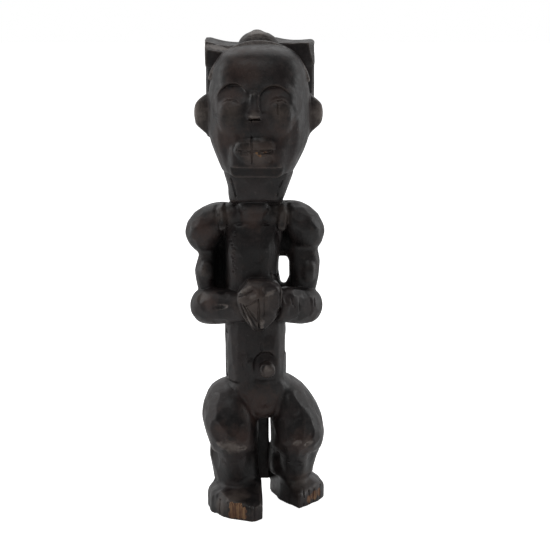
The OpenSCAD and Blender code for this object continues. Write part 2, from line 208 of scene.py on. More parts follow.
def flat(point, normal, reach, stretch=None, rise=0.6, lift=4.0):
    """The wood above a plane, out to a reach and up to a lift. Past the reach the plane turns up,
    so the cut runs out. A stretch (axis, factor) makes the flat longer along that axis."""
    normal = np.array(normal, float) / np.linalg.norm(normal)
    longest = (reach + lift / rise) * (stretch[1] if stretch else 1)

    def distance(*p):
        away = [p[a] - point[a] for a in range(3)]
        above = sum(n * c for n, c in zip(normal, away))
        square = sum(c * c for c in away)
        if stretch is not None:
            axis = np.array(stretch[0], float) / np.linalg.norm(stretch[0])
            square = square - (1 - 1 / stretch[1] ** 2) * sum(n * c for n, c in zip(axis, away)) ** 2
        return np.maximum(rise * np.maximum(np.sqrt(square) - reach, 0) - above, above - lift)
    return Tool(point, longest, distance)


ADD_MARGIN = 2.5  # how far round a tool the distances change when it adds wood
CUT_MARGIN = 1.0  # and when it cuts
SLICE_BLEND = 0.25  # rounding of a flat's edge
GROOVE_WIDTH = 1.45  # a groove's radii are multiplied by this
GROOVE_STEPS = 4  # points where a groove is fitted to the wood, from each stop to the next


class Mass:
    """Carved wood: distances on a box of lattice cells round some nodes, negative inside."""

    def __init__(self, *names):
        self.low, self.high = corner_cells(names)
        self.field = np.full(tuple(self.high - self.low), BAND, np.float32)

    def cells(self, low, high):
        """The part of the box from one lattice cell to another."""
        return tuple(slice(a, b) for a, b in zip(low - self.low, high - self.low))

    def window(self, centre, reach):
        """The part of the box within reach of a point, and its coordinates in millimetres."""
        low = np.clip(np.floor((centre - reach) / VOXEL).astype(int), self.low, self.high)
        high = np.clip(np.ceil((centre + reach) / VOXEL).astype(int) + 1, self.low, self.high)
        lines = [(np.arange(a, b) * VOXEL).astype(np.float32) for a, b in zip(low, high)]
        return self.cells(low, high), np.meshgrid(*lines, indexing="ij", sparse=True)

    def add(self, tool, blend=0.8):
        part, p = self.window(tool.centre, tool.reach + blend + ADD_MARGIN)
        self.field[part] = smooth_min(self.field[part], tool.distance(*p), blend)

    def cut(self, tool, blend=0.5):
        part, p = self.window(tool.centre, tool.reach + blend + CUT_MARGIN)
        self.field[part] = -smooth_min(-self.field[part], tool.distance(*p), blend)

    def settle(self, height):
        """Carries the outline at this height straight down to the ground."""
        level = round(height / VOXEL) - self.low[2]
        lower = self.field[:, :, :level]
        self.field[:, :, :level] = np.minimum(lower, self.field[:, :, level:level + 1])
        self.keep_above(0)

    def fade_below(self, height, slope):
        """Draws the wood in, more and more, below this height."""
        under = height - np.arange(self.low[2], self.high[2]) * VOXEL
        self.field = self.field + (slope * np.maximum(under, 0)).astype(np.float32)

    def keep_above(self, height):
        """Takes away the wood below this height."""
        above = np.arange(self.low[2], self.high[2]) * VOXEL
        self.field = np.maximum(self.field, (height - above).astype(np.float32))

    def front(self, x, z):
        """The Y of the first wood met from the front at this place."""
        column = self.field[round(x / VOXEL) - self.low[0], :, round(z / VOXEL) - self.low[2]]
        j = max(1, int(np.argmax(column < 0)))
        return float(self.low[1] + j - 1 + column[j - 1] / (column[j - 1] - column[j])) * VOXEL

    def groove(self, *stops, deep=0.6, blend=0.25):
        """Cuts a line along the front. Each stop is (x, z, radius)."""
        ends = np.arange(len(stops))
        course = []
        for at in np.linspace(0, ends[-1], GROOVE_STEPS * ends[-1] + 1):
            x, z, radius = [float(np.interp(at, ends, column)) for column in zip(*stops)]
            radius *= GROOVE_WIDTH
            course.append((x, self.front(x, z) + deep - radius, z, radius))
        self.cut(track(*course), blend)

    def slice_front(self, x, z, normal, reach, deep=0.4, **shape):
        """Cuts a flat on the front, this deep at its middle."""
        self.cut(flat((x, self.front(x, z) + deep, z), normal, reach, **shape), SLICE_BLEND)

    def scoop(self, x, z, size, turn=(0, 0, 0), deep=1.5, blend=0.3):
        """Takes a gouge's hollow out of the front, this deep at its middle."""
        self.cut(egg((x, self.front(x, z) + deep - size[1], z), size, turn), blend)

    def join(self, other, blend):
        """Adds another mass, whose box lies inside this one."""
        part = self.cells(other.low, other.high)
        self.field[part] = smooth_min(self.field[part], other.field, blend)


def cad_mass(*names, gap=0, soft=1.5):
    """These CAD nodes as one mass, with creases up to twice the gap filled and edges softened."""
    mass = Mass(*names)
    for name in names:
        mass.field = np.minimum(mass.field, node_distance(name, mass.low, mass.high))
    if gap:
        mass.field = closed(mass.field, mass.low, gap)
    mass.field = softened(mass.field, soft)
    return mass


# ---------- the carver's work, mass by mass ----------

HEAD_X = 1.9  # the middle of the head
# Each eye socket: its middle (x, z), its half width and half height
SOCKETS = {-1: (-21.4, 346.6, 14, 13.8), 1: (13.6, 345.2, 13.8, 13.4)}
SOCKET_DEEP = 4.4  # how far its floor goes in under the brow
SOCKET_FADE = 5  # how far under the middle the floor has run out on the cheek
SOCKET_REACH = 9  # how far the cutting disc reaches out in front of its floor
LIDS = {-1: (-21.5, 334.6), 1: (16.6, 334.4)}  # the middle of each eyelid (x, z)
NOSE_X = -3.0
LIP_LINE_Z = 308.2  # where the lips meet
CRACK_X = -4.9  # a drying crack from the nose to the chin
RIM_Z = 350  # the height of the temples
RIM_ANGLES = np.radians(np.arange(14, 167, 3))
# The middle of a crisp raised edge over the forehead, from temple to temple
RIM_STOPS = [(0.8 + 40.6 * math.cos(a), -0.8, RIM_Z + 41.0 * math.sin(a) ** 0.9) for a in RIM_ANGLES]
RIM_WIDTH = 2.1
RIM_INSET = 0.945  # the size of the groove inside that edge, as a share of the edge's


def carve_head():
    """The head with its rim, eyes, nose, mouth and cracks."""
    head = cad_mass("head", soft=1.2)
    head.add(egg((0.9, 5, 345), (40, 37.6, 44.2), power=2.3), 3)
    head.add(egg((0.9, 3, 360.5), (37.6, 33.4, 28.8), power=2.7), 3)
    for x, y, turn in ((-19, -28.4, -22), (15, -31.2, 10)):
        head.add(egg((x, y, 343), (17, 7, 17), (-14, 0, turn)), 4)
    head.add(track(*[(*stop, RIM_WIDTH) for stop in RIM_STOPS]), 0.4)
    inside = [(HEAD_X + (x - HEAD_X) * RIM_INSET, y - 3.4, RIM_Z + (z - RIM_Z) * RIM_INSET, 1.1)
              for x, y, z in RIM_STOPS]
    head.cut(track(*inside))
    for side in (-1, 1):
        carve_eye(head, side)
    carve_nose(head)
    carve_muzzle(head)
    carve_lips(head)
    head.groove((CRACK_X, 333, 0.5), (CRACK_X - 0.2, 325, 0.5), (CRACK_X, 318, 0.6), deep=0.7)
    head.groove((16.2, 350, 0.4), (15.8, 341, 0.6), (16.4, 332, 0.4), deep=1.1)
    return head


def carve_eye(head, side):
    """An oval hollow, deep under the brow and running out on the cheek, with a long eyelid in it."""
    x, z, wide, tall = SOCKETS[side]
    high = head.front(x, z + tall - 1) + SOCKET_DEEP
    low = head.front(x, z - SOCKET_FADE)
    slope = (high - low) / (tall + SOCKET_FADE)
    across = head.front(x + 8, z) - head.front(x - 8, z)
    turn = (-math.degrees(math.atan(slope)), 0, math.degrees(math.atan2(across, 16)))
    outward = Euler([math.radians(t) for t in turn]).to_matrix() @ Vector((0, -1, 0))
    middle = Vector((x, low + slope * SOCKET_FADE, z)) + outward * SOCKET_REACH
    head.cut(pad(middle, (wide, SOCKET_REACH, tall + 1), turn), 0.7)
    x, z = LIDS[side]
    head.add(egg((x, head.front(x, z) + 3.8, z), (10.4, 5.8, 14.6), (0, 0, turn[2] * 0.6)), 3)
    head.groove((x - 7.4, z + 10.2, 0.3), (x - 3, z + 13.2, 0.6), (x + 2.4, z + 13.4, 0.6),
                (x + 7.2, z + 10.4, 0.3), deep=0.7, blend=0.5)


def carve_nose(head):
    """A short ridge with two nostrils, cut flat underneath, on the swell above the mouth."""
    head.add(egg((NOSE_X + 0.6, -35, 326.5), (12, 5.4, 12)), 3.5)
    ridge = track((NOSE_X, -36, 351, 2.9), (NOSE_X, -37.6, 340, 4.4), (NOSE_X, -37.4, 337.4, 4.6))
    head.add(ridge, 2)
    for x in (NOSE_X - 3.6, NOSE_X + 3.6):
        head.add(egg((x, -37.2, 337.2), (3.2, 4.2, 3.6)), 1.2)
    head.cut(flat((NOSE_X, -41.6, 334.8), (0, -0.45, -0.89), 5, rise=1, lift=2), 0.3)
    for x in (NOSE_X - 3.4, NOSE_X + 3.4):
        head.cut(egg((x, head.front(x, 334.4) + 0.2, 334.4), (1.2, 0.9, 0.8)), 0.3)


def carve_muzzle(head):
    """The flat block of the mouth and chin, which stands out from the cheeks."""
    for side in (-1, 1):
        head.cut(egg((HEAD_X + side * 35, -40, 309), (15.5, 10, 21), (0, side * 10, side * 8)), 4)
    head.add(block((-1, -31.4, 298.6), (19.4, 6.4, 12.5), (-2, 0, -3), 4), 5)
    head.cut(block((-0.4, -42.2, 287.4), (32, 8, 6.2), (3, 0, -3), 1.5), 1.2)


# The flats on the lips: x, z, the way it faces, reach, how many times wider than tall, depth, lift
LIP_FLATS = [
    (-10, 312.4, (-0.25, -0.95, 0.18), 3.4, 1, 0.4, 1.6),
    (5.4, 313.6, (0.16, -0.96, 0.2), 4, 1.3, 0.4, 1.6),
    (6.5, 305.2, (0.12, -0.80, 0.58), 3.6, 1.6, 0.8, 2),
    (-11, 304.6, (-0.2, -0.88, 0.42), 2.6, 1.3, 0.4, 1.6),
    (8, 300.8, (0.32, -0.93, -0.15), 3.4, 1, 0.4, 1.6),
    (-10, 301, (-0.34, -0.93, -0.15), 3, 1, 0.4, 1.6),
]


def carve_lips(head):
    """Full lips, wider on the figure's left, with flats cut on them and the crack down through them."""
    head.add(egg((-10.6, -37, 309.2), (7.6, 5.4, 7.2), (0, 0, -10), power=1.8), 0.4)
    head.add(egg((3.6, -37.2, 309.6), (11.6, 6, 10), power=1.8), 0.4)
    head.add(egg((-1.8, -37, 307.4), (17.2, 6.6, 12.6), power=1.75), 0.4)
    head.groove((-17, LIP_LINE_Z, 0.5), (-8, LIP_LINE_Z - 0.4, 0.9), (5, LIP_LINE_Z + 0.3, 0.9),
                (13.4, LIP_LINE_Z + 0.3, 0.5), deep=1.3)
    for x, z, facing, reach, wide, deep, lift in LIP_FLATS:
        head.slice_front(x, z, facing, reach, deep, stretch=((1, 0, 0), wide), rise=1, lift=lift)
    head.groove((CRACK_X, 318, 0.7), (CRACK_X, 309, 0.8), (CRACK_X + 0.4, 296, 0.5), deep=1.2)


def carve_beard():
    """A squared block with an upright groove near each side."""
    beard = cad_mass("beard", soft=1)
    beard.add(egg((-1.2, -19.5, 278.4), (17, 8.4, 12.6), (4, 0, 0), power=2.4), 2)
    beard.cut(flat((-1.5, -20, 264), (0, -0.3, -0.95), 22, rise=0.8, lift=10), 1.6)
    beard.groove((-21.4, 283.4, 0.8), (-20, 277, 1.1), (-17.6, 268.6, 0.7), deep=1.4)
    beard.groove((19.8, 281.8, 0.7), (17, 276, 1), (15.6, 269, 0.7), deep=1.3)
    for x, out in ((-10, -0.3), (8, 0.3)):
        beard.slice_front(x, 273, (out, -0.94, -0.14), 7, rise=0.3)
    return beard


def carve_headdress():
    """The wings get rounded roots, and flats cut on them."""
    dress = cad_mass("headdress", soft=0.8)
    dress.add(block((-28.5, 16.2, 380), (14.2, 8.6, 8.4), (3, 3, 0), 1.5), 3)
    dress.add(block((30.8, 17.4, 382.4), (14.6, 10, 8.6), (3, 0, 0), 1.5), 3)
    dress.cut(flat((-37, 7.6, 384.2), (0.12, -0.5, 0.86), 9, ((1, 0, 0), 1.7), rise=0.9, lift=8), 0.3)
    dress.cut(flat((42.4, 8, 387), (0.72, -0.68, 0.14), 15, ((0, 0, 1), 1.6), rise=0.4, lift=8), 0.3)
    dress.cut(flat((31, 7.2, 385), (0.12, -0.98, 0.14), 5, rise=0.3, lift=3), 0.3)
    return dress


def carve_crest():
    """A low dome with a flat front and a groove across it."""
    crest = cad_mass("crest", soft=1.1)
    crest.add(egg((0.6, 19, 385.4), (17, 15, 14), (0, 3, 0), power=2.1), 1.5)
    crest.cut(flat((2, 8, 393.2), (0.05, -0.8, 0.6), 9, ((1, 0, 0), 1.5), rise=0.4, lift=6), 0.4)
    crest.cut(track((-11, 10, 394.6, 0.5), (2, 9, 396.6, 0.7), (13, 11, 393.6, 0.5)), 0.4)
    return crest


# The flats round the chest, seen from above, as the corners between them
CHEST_CORNERS = [(-28.5, -3), (-25, -15), (-14, -20.2), (6.6, -20.6), (11.4, -18.2), (17.5, -8)]
CHEST_MIDDLE_Z = 214
CHEST_HALF_TALL = 24
CHIP_SPACING = 3.4


def carve_trunk():
    """Neck, chest, belly and pelvis in one, with collar muscles, a row of chips and cracks."""
    trunk = cad_mass("neck", "chest", "belly", "pelvis", gap=1.2, soft=0.9)
    trunk.add(egg((-4.8, -8.5, 252), (11, 7.4, 18)), 4)
    trunk.add(egg((-3.6, -12, 259), (12.5, 8, 9)), 4)
    for x in (-20.5, 11.6):
        trunk.add(egg((x, -4.5, 250), (8, 8.6, 11)), 4)
    for (xa, ya), (xb, yb) in zip(CHEST_CORNERS, CHEST_CORNERS[1:]):
        middle = ((xa + xb) / 2, (ya + yb) / 2, CHEST_MIDDLE_Z)
        facing = (yb - ya, xa - xb, 0)
        wide = math.dist((xa, ya), (xb, yb)) / 2 + 2
        trunk.cut(flat(middle, facing, wide, ((0, 0, 1), CHEST_HALF_TALL / wide)), 0.15)
    chips = np.random.default_rng(SEED + 1)
    for z in np.arange(204, 240, CHIP_SPACING):
        x = -19.5 + chips.uniform(-2.5, 2.5)
        z += chips.uniform(-1, 1)
        chip = (chips.uniform(1.4, 3.2), 1.1, 0.9)
        trunk.cut(egg((x, trunk.front(x, z) - 0.2, z), chip, (0, 14, -25)), 0.2)
    trunk.cut(track((19, -9, 208, 0.7), (13, -18, 199, 0.9), (9, -20.6, 193, 0.7)), 0.8)
    for x in (-12.2, -9):
        trunk.groove((x + 2.6, 134.5, 0.5), (x, 128, 0.8), (x + 1.6, 119, 0.5), deep=0.9)
    trunk.groove((3, 146, 0.6), (3.4, 143, 1.1), (3.4, 139.6, 0.8), deep=1)
    trunk.groove((11, 226, 0.4), (10.2, 212, 0.7), (10.6, 200, 0.4), deep=0.5)
    trunk.add(egg((3.5, -7.5, 88.5), (14, 13, 8)), 5)
    trunk.add(egg((5, -14.5, 124), (13, 8, 15)), 2)
    return trunk


def carve_navel():
    """A stout peg, its end cut with two flats."""
    peg = cad_mass("navel", soft=0.5)
    peg.add(egg((8, -29.6, 124.8), (6, 5.2, 6), (0, 0, 12), power=2.3), 0.5)
    peg.slice_front(6, 127, (-0.3, -0.88, 0.36), 2.6, rise=0.5, lift=2)
    peg.slice_front(10, 123, (0.4, -0.9, -0.1), 2.6, rise=0.5, lift=2)
    return peg


def carve_arm(side, name):
    """Shoulder and upper arm in one, with one flat on the shoulder's front."""
    arm = cad_mass(f"shoulder_{name}", f"upper_arm_{name}", gap=2.5)
    arm.add(egg((side * 42, -6.4, 203), (5.5, 4.5, 9), (0, side * 5, 0)), 2)
    if side < 0:
        front = flat((-52, -14.5, 232), (-0.42, -0.72, -0.55), 7, ((1, 0, 0.4), 1.5), lift=3)
    else:
        front = flat((41, -16.5, 233.5), (0.1, -0.78, -0.62), 7, ((1, 0, 0), 1.5), lift=3)
    arm.cut(front, 0.2)
    return arm


def carve_forearm(side, name):
    """The right one has a gouged sliver, the left one a flat and three short cuts."""
    forearm = cad_mass(f"forearm_{name}")
    if side < 0:
        forearm.scoop(-32.5, 177, (8.6, 3.4, 2.2), (0, -10, -24), deep=1.6)
    else:
        forearm.slice_front(27, 183.5, (0.3, -0.85, 0.42), 5, rise=0.4, lift=3)
        forearm.groove((27.2, 185, 0.5), (28.6, 180.5, 0.8), (30.4, 177.6, 0.5), deep=0.8)
        forearm.groove((33.6, 184, 0.5), (34.2, 174, 0.6), deep=0.6)
        forearm.groove((46.6, 182, 0.5), (47, 176, 0.6), deep=0.7)
    return forearm


# The outline of the two hands as one shield, seen from the front, anticlockwise from the top
SHIELD = [(7.4, 201.2), (-8, 200.4), (-16.4, 190.4), (-16, 181.5), (-14, 174.6), (-8.6, 166.6),
          (-2.6, 158.8), (4.6, 158.8), (11.6, 166.8), (18.8, 174.6), (19.6, 193), (15.2, 198.6)]
# The lines between the fingers, as (x, z, radius) stops, and how deep each is
HAND_GROOVES = [
    ([(-15.2, 187.6, 0.6), (-9, 190.8, 0.8), (-3.9, 193.6, 0.5)], 1),
    ([(-9.4, 180.8, 0.6), (-4, 184.4, 0.8), (0.6, 186.6, 0.6)], 1),
    ([(-14, 182.6, 0.6), (-9.8, 171.6, 0.9), (-4.4, 161.4, 0.6)], 1.2),
    ([(-11.2, 181.4, 0.6), (-6.4, 172.4, 0.9), (-1.4, 163.4, 0.6)], 1.2),
    ([(-9, 180, 0.5), (-4.6, 174.2, 0.8), (-0.6, 168.4, 0.6)], 1),
    ([(0.6, 187.4, 0.6), (0.8, 174, 0.9), (1, 159.8, 0.6)], 1.3),
    ([(5.4, 187.4, 0.5), (5.2, 173.6, 0.7)], 0.9),
    ([(18, 194.4, 0.7), (18.2, 184, 1), (17.6, 174, 0.7)], 1.5),
]


def carve_hands():
    """The two hands, one over the other, as one shield with its fingers cut in."""
    hands = cad_mass("hand_right", "hand_left", gap=1.4, soft=1)
    hands.add(egg((1.6, -28, 186.4), (19.6, 13.6, 16), power=2.4), 1.5)
    hands.add(egg((0.6, -28, 173.5), (16.6, 13.2, 16), power=2.2), 1.5)
    for (xa, za), (xb, zb) in zip(SHIELD, SHIELD[1:] + SHIELD[:1]):
        outside = (zb - za, 0, xa - xb)
        middle = ((xa + xb) / 2, -30, (za + zb) / 2)
        hands.cut(flat(middle, outside, 30, rise=0.5, lift=14), 0.8)
    for x, z, normal, reach in (
            (-10.4, 195, (-0.45, -0.66, 0.60), 5), (-4.6, 189.4, (-0.25, -0.84, 0.48), 4),
            (9.6, 192, (0.15, -0.76, 0.63), 5), (12.6, 182, (0.42, -0.90, 0.02), 7),
            (-11.6, 176, (-0.62, -0.77, -0.12), 6), (7.5, 167, (0.35, -0.88, -0.30), 6)):
        hands.slice_front(x, z, normal, reach, deep=0.7, lift=3)
    for stops, deep in HAND_GROOVES:
        hands.groove(*stops, deep=deep)
    for x, z in ((3.4, 169), (3.2, 163.6)):
        hands.add(egg((x, hands.front(x, z) + 0.4, z), (1.5, 1.5, 1.5)), 0.3)
    return hands


def carve_leg(side, name):
    """Thigh and calf in one, with a filled knee, flats on the shin and gouged patches on the knee."""
    leg = cad_mass(f"thigh_{name}", f"calf_{name}", gap=5.5, soft=2.2)
    if side < 0:
        leg.slice_front(-17, 36, (0.04, -1, 0), 13, deep=0.8, stretch=((0, 0, 1), 1.4), rise=0.5)
        leg.slice_front(-34.6, 38, (-0.8, -0.6, 0), 6, deep=1, stretch=((0, 0, 1), 2.6))
        leg.slice_front(-31, 72.4, (-0.38, -0.92, -0.05), 5.6, deep=0.9,
                        stretch=((0, 0, 1), 1.3), rise=1)
        leg.add(track((-20, -20.4, 61, 12.4), (-19, -11.6, 28, 10.4)), 4)
        leg.scoop(-22, 60.6, (13.4, 4.6, 4.6), (0, 12, -4), deep=3)
        leg.scoop(-11.5, 58.6, (5, 2.6, 1.8), (0, 12, 10), deep=1)
    else:
        leg.slice_front(30, 36, (0, -1, 0), 12, deep=0.8, stretch=((0, 0, 1), 1.4), rise=0.5)
        leg.add(track((31.5, -14.4, 61, 12.4), (31, 7.6, 26, 10)), 4)
        for x, z, reach in ((42.5, 60.2, 2.2), (33, 62, 2.6), (29, 66, 1.6), (44.5, 68, 1.3)):
            leg.scoop(x, z, (reach * 1.7, 2.6, reach), (0, -14, 8), deep=1.1)
    return leg


# Each foot's outline on the ground, and the planes of its top
FEET = {
    -1: ([(-43.4, 5), (-38.8, -21.4), (-24.5, -40.3), (-4.4, -49), (3.9, -41.6), (4.7, -3.6),
          (2, 12), (-38, 16)],
         [((-17, -41, 15.4), (0, -0.31, 0.95)), ((-40, 0, 15), (-0.45, 0, 0.89))]),
    1: ([(9.3, 42.7), (19.2, 10), (34.9, -14.2), (50.5, 5), (58.2, 22), (54, 38), (40, 46)],
        [((40, -6, 13.4), (0.16, -0.36, 0.92)), ((54, 10, 14), (0.45, 0, 0.89))]),
}
FOOT_TOP_Z = 24
FOOT_REACH = 46  # half of the longest way across a foot, and some room
FOOT_FLARE = 0.06  # how much a foot's sides lean in towards the top
FOOT_FRONT_Y = {-1: 10, 1: 36}  # in front of this, nothing stands out past the outline
FOOT_SETTLE_Z = 5  # the outline at this height is carried down to the ground
# Where each cut between the toes meets the ground (x, y)
TOE_CUTS = {
    -1: [(-31.4, -31.2), (-24.8, -40.2), (-7.4, -47.8), (-3, -47.8)],
    1: [(38.8, -8.8), (43.2, -3.4), (47.6, 2), (53.2, 10.6)],
}


def sole(plan, tops):
    """A low block with this outline, under sloping tops."""
    middle = (sum(x for x, y in plan) / len(plan), sum(y for x, y in plan) / len(plan), 8)
    planes = [*tops, ((0, 0, FOOT_TOP_Z), (0, 0, 1)), ((0, 0, 0), (0, 0, -1))]
    for (xa, ya), (xb, yb) in zip(plan, plan[1:] + plan[:1]):
        long = math.dist((xa, ya), (xb, yb))
        planes.append(((xa, ya, 0), ((yb - ya) / long, (xa - xb) / long, FOOT_FLARE)))
    return faceted(middle, FOOT_REACH, planes)


def carve_foot(side, name):
    """A foot fitted to its outline, with toes cut in and flats on its front."""
    foot = cad_mass(f"foot_{name}", gap=3.2, soft=1)
    plan, tops = FEET[side]
    shape = sole(plan, tops)
    part, p = foot.window(shape.centre, shape.reach)
    edge = shape.distance(*p)
    foot.field[part] = np.minimum(foot.field[part], edge + 0.4)
    front = np.broadcast_to(p[1], edge.shape) < FOOT_FRONT_Y[side]
    foot.field[part] = np.where(front, np.maximum(foot.field[part], edge - 0.6), foot.field[part])
    foot.field = softened(foot.field, 1.6)
    foot.settle(FOOT_SETTLE_Z)
    for x, y in TOE_CUTS[side]:
        line = track((x, y - 0.6, 0, 0.8), (x, y + 0.4, 12, 0.9), (x - side * 0.5, y + 8, 16.5, 0.6))
        foot.cut(line, 0.4)
    if side < 0:
        foot.cut(flat((-31.5, -33, 7), (-0.62, -0.75, 0.22), 6, rise=0.5, lift=3), 0.2)
        toes = flat((-17, -44.4, 8), (-0.38, -0.92, 0.05), 6.5, ((0, 0, 1), 1.4), rise=1.5, lift=3)
        foot.cut(toes, 0.2)
    else:
        foot.cut(flat((47, 0.6, 7), (0.76, -0.64, 0.05), 6, rise=1.2, lift=3), 0.2)
    return foot


def carve_ear(side, name):
    """A flat ear, cut slanting at the top and at the bottom."""
    ear = cad_mass(f"ear_{name}", soft=1.4)
    ear.add(egg((side * 41.5 + 0.6, 7, 333), (11.8, 6.2, 16.4), (0, side * 4, side * -24)), 2)
    for x, z, out, up in ((47.5, 345.5, 0.58, 0.81), (48.5, 322, 0.66, -0.74)):
        ear.cut(flat((side * x, 7, z), (side * out, -0.1, up), 9, rise=0.8, lift=9), 1.5)
    return ear


def carve_tress(side, name):
    """A lock behind the neck, its shoulder taken off."""
    tress = cad_mass(f"tress_{name}", soft=2.4)
    tress.cut(flat((side * 32, -8, 257), (side * 0.6, -0.1, 0.8), 8, lift=7), 1)
    return tress


# Wood left round the opening by the left arm, seen from the front: x, z, half width, half height
GAP_LUMPS = [(20.8, 226.6, 9, 8), (12.8, 221, 4.4, 8), (28, 221, 4.5, 9), (21, 184.6, 9, 6.8),
             (12.8, 189, 4.4, 8), (28.4, 189, 4.5, 8)]


def round_the_gaps(whole):
    """Makes the blind hollow by the right arm deeper, and the opening by the left one an oval."""
    whole.cut(egg((-31.4, -2.5, 207), (5, 12.4, 21)), 1)
    for x, z, wide, tall in GAP_LUMPS:
        whole.add(egg((x, 4.5, z), (wide, 5.5, tall)), 3)


HIPS_FADE_Z = 102  # below this the rounded hips run out into the thighs
HIPS_FADE = 0.3  # how fast


def carve_hips():
    """The hips as one rounded mass, with the creases at the top of the thighs filled."""
    hips = cad_mass("pelvis", "thigh_right", "thigh_left", gap=7, soft=3)
    hips.fade_below(HIPS_FADE_Z, HIPS_FADE)
    return hips


SWELL = 0.3  # wood added all over, which makes up for what the knife marks take off


def assemble():
    """One field for the whole figure, from its carved masses and how far each blends into the rest."""
    whole = Mass(*sorted(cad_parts))
    masses = [
        (carve_headdress(), 0.3), (carve_head(), 0.4), (carve_beard(), 0.3), (carve_crest(), 0.8),
        (carve_trunk(), 0.8), (carve_navel(), 0.3), (cad_mass("post", soft=0.7), 1.2),
        (carve_hips(), 1.5),
    ]
    for side, name in ((-1, "right"), (1, "left")):
        masses += [
            (carve_ear(side, name), 2.6), (carve_tress(side, name), 3.2),
            (cad_mass(f"armpit_{name}", soft=0.8), 1.5), (carve_arm(side, name), 2),
            (carve_forearm(side, name), 2), (carve_leg(side, name), 3.5),
            (carve_foot(side, name), 6),
        ]
    masses.append((carve_hands(), 0.5))
    for mass, blend in masses:
        whole.join(mass, blend)
    round_the_gaps(whole)
    whole.field -= SWELL
    whole.keep_above(0)
    return whole


# ---------- knife marks all over ----------

FACET_SPACING = 10  # one mark is tried in each cube of this size
FACET_REACH = 7.5
FACET_DEPTHS = (0.12, 0.42)
FACET_LENGTHS = (1.0, 1.8)  # how many times taller than wide
FACET_TILT = 0.07  # how far a mark's slope strays from the wood's
FACET_RISE = 0.25
CLEARANCE = 0.6  # nothing round a mark may stand out more than this
NORMAL_STEP = 3  # cells to each side over which the slope of the wood is measured
SMOOTH_SLOPE = 0.8  # a lower slope of the distance means a crease, where no mark is cut
CREASE = -0.05  # no mark where a blur would bring the skin out by more than this
FACE_BOTTOM_Z, FACE_BACK_Y = 265, 2  # above and in front of these the carver left no flats


def blocked(whole, place, normal, height):
    """True if wood near this place stands higher than this over the plane through it."""
    side = np.cross(normal, (0, 0, 1))
    side /= max(np.linalg.norm(side), TINY)
    up = np.cross(side, normal)
    for far in (0.5, 1, 1.5):
        for angle in np.arange(0, 2 * math.pi, math.pi / 6):
            spread = (math.cos(angle) * side + math.sin(angle) * up) * far * FACET_REACH
            cell = np.round((place + spread + normal * height) / VOXEL).astype(int) - whole.low
            cell = np.clip(cell, 0, np.array(whole.field.shape) - 1)
            if whole.field[tuple(cell)] < 0:
                return True
    return False


def knife_marks(whole):
    """Shallow flat cuts, scattered evenly, as a knife leaves them."""
    rng = np.random.default_rng(SEED)
    bulge = softened(whole.field, 2.0) - whole.field
    cells = np.argwhere((np.abs(whole.field) < 0.6 * VOXEL) & (bulge > CREASE))
    cells = cells[rng.permutation(len(cells))]
    cube = np.floor((cells * VOXEL + rng.uniform(0, FACET_SPACING, 3)) / FACET_SPACING).astype(int)
    _, first = np.unique(cube, axis=0, return_index=True)
    field = whole.field
    steps = np.eye(3, dtype=int) * NORMAL_STEP
    inner = np.array(field.shape) - 1 - NORMAL_STEP
    for cell in cells[np.sort(first)]:
        if np.any(cell < NORMAL_STEP) or np.any(cell > inner):
            continue
        slope = np.array([field[tuple(cell + s)] - field[tuple(cell - s)] for s in steps], float)
        steep = np.linalg.norm(slope)
        if steep < SMOOTH_SLOPE * (2 * NORMAL_STEP) * VOXEL:
            continue
        normal = slope / steep + rng.normal(0, FACET_TILT, 3)
        normal /= np.linalg.norm(normal)
        place = (cell + whole.low) * VOXEL
        depth = rng.uniform(*FACET_DEPTHS)
        long = rng.uniform(*FACET_LENGTHS)
        face = place[2] > FACE_BOTTOM_Z and place[1] < FACE_BACK_Y
        if face or blocked(whole, place, normal, depth + CLEARANCE):
            continue
        mark = flat(place - normal * depth, normal, FACET_REACH / math.sqrt(long), ((0, 0, 1), long),
                    rise=FACET_RISE, lift=depth + 0.5)
        whole.cut(mark, 0.2)


# ---------- one piece for each mass ----------

LAP = 1.2  # how far a piece runs on inside its neighbour
LAP_SLOPE = 0.03  # how fast it dips under its neighbour's skin there


def territories(whole):
    """For every cell, the nearest CAD node, its distance, and the distance to the next nearest."""
    shape = whole.field.shape
    nearest = np.full(shape, 3 * BAND, np.float32)
    second = np.full(shape, 3 * BAND, np.float32)
    owner = np.full(shape, -1, np.int8)
    for index, name in enumerate(sorted(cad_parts)):
        low, high = corner_cells([name])
        part = whole.cells(low, high)
        distance = node_distance(name, low, high)
        closer = distance < nearest[part]
        second[part] = np.where(closer, nearest[part], np.minimum(second[part], distance))
        owner[part] = np.where(closer, index, owner[part])
        nearest[part] = np.minimum(nearest[part], distance)
    return nearest, second, owner


def sampled(field, low, points, step=VOXEL):
    """A field's values at points, blended between its eight nearest cells."""
    place = points / step - low
    base = np.clip(np.floor(place).astype(int), 0, np.array(field.shape) - 2)
    share = np.clip(place - base, 0, 1)
    total = np.zeros(len(points), np.float32)
    for corner in np.ndindex(2, 2, 2):
        weight = np.prod(np.where(corner, share, 1 - share), axis=1)
        cell = base + corner
        total += (weight * field[cell[:, 0], cell[:, 1], cell[:, 2]]).astype(np.float32)
    return total


COARSE = 3  # cells of the carving grid to one cell of the hollowness grid
HOLLOW_BLUR = 2.0  # in millimetres of the carving grid, so COARSE times wider
EDGE_BLUR = 1.2


def hollowness(whole):
    """How much wood stands round each place: high in hollows, low on tips. On a coarse grid."""
    shape = [n // COARSE * COARSE for n in whole.field.shape]
    fine = whole.field[:shape[0], :shape[1], :shape[2]]
    wood = np.clip(0.5 - fine / VOXEL, 0, 1)
    groups = [n for size in shape for n in (size // COARSE, COARSE)]
    return softened(wood.reshape(groups).mean(axis=(1, 3, 5)), HOLLOW_BLUR)


def placed(name, data):
    """A new object in the scene."""
    thing = bpy.data.objects.new(name, data)
    bpy.context.scene.collection.objects.link(thing)
    return thing


